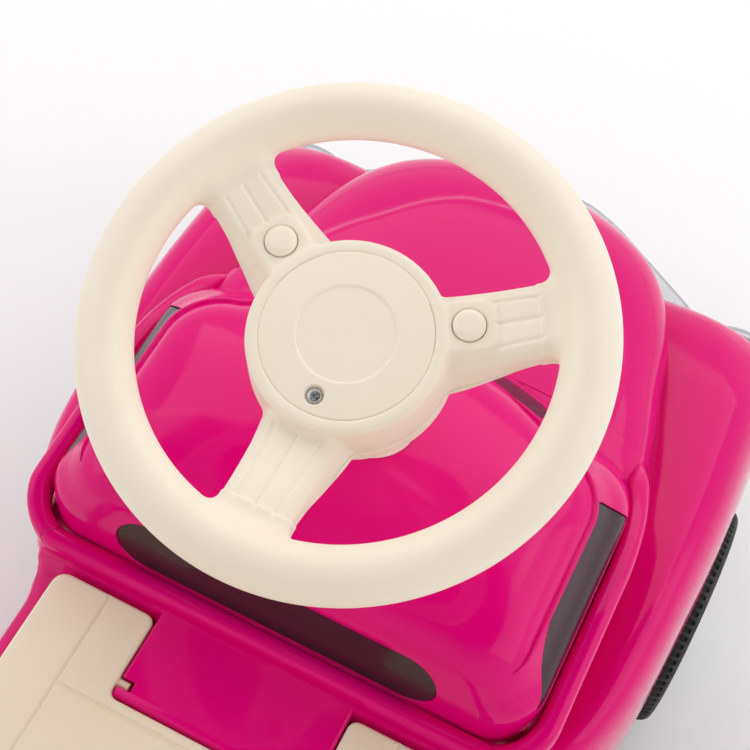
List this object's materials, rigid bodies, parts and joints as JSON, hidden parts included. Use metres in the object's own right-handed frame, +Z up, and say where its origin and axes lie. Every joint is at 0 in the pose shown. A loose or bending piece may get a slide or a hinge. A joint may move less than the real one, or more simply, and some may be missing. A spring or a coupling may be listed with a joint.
{
  "type": "foot-to-floor push car",
  "caption": "Retro foot-to-floor push car for a small child: steering wheel that turns the front wheels, cab with smoked windows, hinged seat over a bin, backrest and bumpers.",
  "frame": {"origin": "on the ground under the middle of the car's length and width", "axes": "front of the car towards -Y, the driver's left towards +X, +Z up"},
  "size_m": [0.325, 0.64, 0.3979],
  "materials": {
    "magenta_body": "glossy",
    "smoked_window": "glossy, dark smoked",
    "silver_trim": "silver, satin gloss",
    "clear_lens": "clear",
    "red_lens": "glossy",
    "black_plastic": "matte",
    "steel": "plated",
    "cream_wheel": "soft matte",
    "cream_seat": "satin",
    "black_tyre": "matte",
    "cell_wrap": "satin",
    "circuit_board": "satin"
  },
  "bodies": {
    "car": {"hood": "magenta_body", "main_body": "magenta_body", "cab": "magenta_body", "windshield": "smoked_window", "rear_window": "smoked_window", "left_window": "smoked_window", "right_window": "smoked_window", "front_fender_left": "magenta_body", "front_fender_right": "magenta_body", "rear_fender_left": "magenta_body", "rear_fender_right": "magenta_body", "headlight_rim_left": "silver_trim", "headlight_rim_right": "silver_trim", "headlight_lens_left": "clear_lens", "headlight_lens_right": "clear_lens", "tail_light_left": "red_lens", "tail_light_right": "red_lens", "front_bumper": "silver_trim", "rear_bumper": "silver_trim", "storage_bin": "black_plastic", "backrest": "cream_seat", "chassis": "black_plastic", "rear_axle": "steel", "hubcap_rear_left": "silver_trim", "hubcap_rear_right": "silver_trim", "column_collar": "cream_wheel", "column_bush": "black_plastic"},
    "steering": {"steering_wheel_upper": "cream_wheel", "steering_wheel_lower": "cream_wheel", "battery_cover": "cream_wheel", "cover_screw": "steel", "shell_screw_1": "steel", "shell_screw_2": "steel", "shell_screw_3": "steel", "battery_tray": "black_plastic", "cell_front": "cell_wrap", "cell_rear": "cell_wrap", "battery_contact_left": "steel", "battery_contact_right": "steel", "sound_board": "circuit_board", "sounder": "black_plastic", "steering_column": "steel", "button_spring_left": "steel", "button_spring_right": "steel"},
    "button_left": {"button_left": "cream_wheel"},
    "button_right": {"button_right": "cream_wheel"},
    "knuckle_left": {"knuckle_left": "steel", "hubcap_front_left": "silver_trim"},
    "knuckle_right": {"knuckle_right": "steel", "hubcap_front_right": "silver_trim"},
    "tie_rod": {"tie_rod": "black_plastic"},
    "front_wheel_left": {"tyre_front_left": "black_tyre", "wheel_front_left": "silver_trim"},
    "front_wheel_right": {"tyre_front_right": "black_tyre", "wheel_front_right": "silver_trim"},
    "rear_wheel_left": {"tyre_rear_left": "black_tyre", "wheel_rear_left": "silver_trim"},
    "rear_wheel_right": {"tyre_rear_right": "black_tyre", "wheel_rear_right": "silver_trim"},
    "seat_lid": {"seat_lid": "cream_seat"}
  },
  "joints": [
    {"name": "steering_turn", "type": "hinge", "parent": "car", "child": "steering", "pos_m": [0, -0.0539, 0.3671], "axis": [0, 0.262, 0.9651], "range_deg": [-40, 40]},
    {"name": "button_left_press", "type": "slide", "parent": "steering", "child": "button_left", "axis": [0, -0.262, -0.9651], "range_m": [0, 0.0018], "stiffness_N_per_m": 300, "springref_m": -0.001, "deforming": ["button_spring_left"]},
    {"name": "button_right_press", "type": "slide", "parent": "steering", "child": "button_right", "axis": [0, -0.262, -0.9651], "range_m": [0, 0.0018], "stiffness_N_per_m": 300, "springref_m": -0.001, "deforming": ["button_spring_right"]},
    {"name": "knuckle_left_turn", "type": "hinge", "parent": "car", "child": "knuckle_left", "pos_m": [0.112, -0.162, 0.06], "axis": [0, 0, 1], "range_deg": [-20.5, 20.5]},
    {"name": "knuckle_right_turn", "type": "hinge", "parent": "car", "child": "knuckle_right", "pos_m": [-0.112, -0.162, 0.06], "axis": [0, 0, 1], "range_deg": [-20.5, 20.5]},
    {"name": "tie_rod_slide", "type": "slide", "parent": "car", "child": "tie_rod", "axis": [1, 0, 0], "range_m": [-0.0135, 0.0135]},
    {"name": "front_wheel_left_spin", "type": "hinge", "parent": "knuckle_left", "child": "front_wheel_left", "pos_m": [0.1445, -0.162, 0.06], "axis": [1, 0, 0], "continuous": true},
    {"name": "front_wheel_right_spin", "type": "hinge", "parent": "knuckle_right", "child": "front_wheel_right", "pos_m": [-0.1445, -0.162, 0.06], "axis": [1, 0, 0], "continuous": true},
    {"name": "rear_wheel_left_spin", "type": "hinge", "parent": "car", "child": "rear_wheel_left", "pos_m": [0.1445, 0.19, 0.06], "axis": [1, 0, 0], "continuous": true},
    {"name": "rear_wheel_right_spin", "type": "hinge", "parent": "car", "child": "rear_wheel_right", "pos_m": [-0.1445, 0.19, 0.06], "axis": [1, 0, 0], "continuous": true},
    {"name": "seat_lid_hinge", "type": "hinge", "parent": "car", "child": "seat_lid", "pos_m": [0, 0.043, 0.211], "axis": [1, 0, 0], "range_deg": [0, 80]}
  ],
  "couplings": [
    {"joint": "knuckle_left_turn", "follows": "steering_turn", "ratio": 0.5},
    {"joint": "knuckle_right_turn", "follows": "steering_turn", "ratio": 0.5},
    {"joint": "tie_rod_slide", "follows": "steering_turn", "m_per_rad": -0.01887}
  ]
}
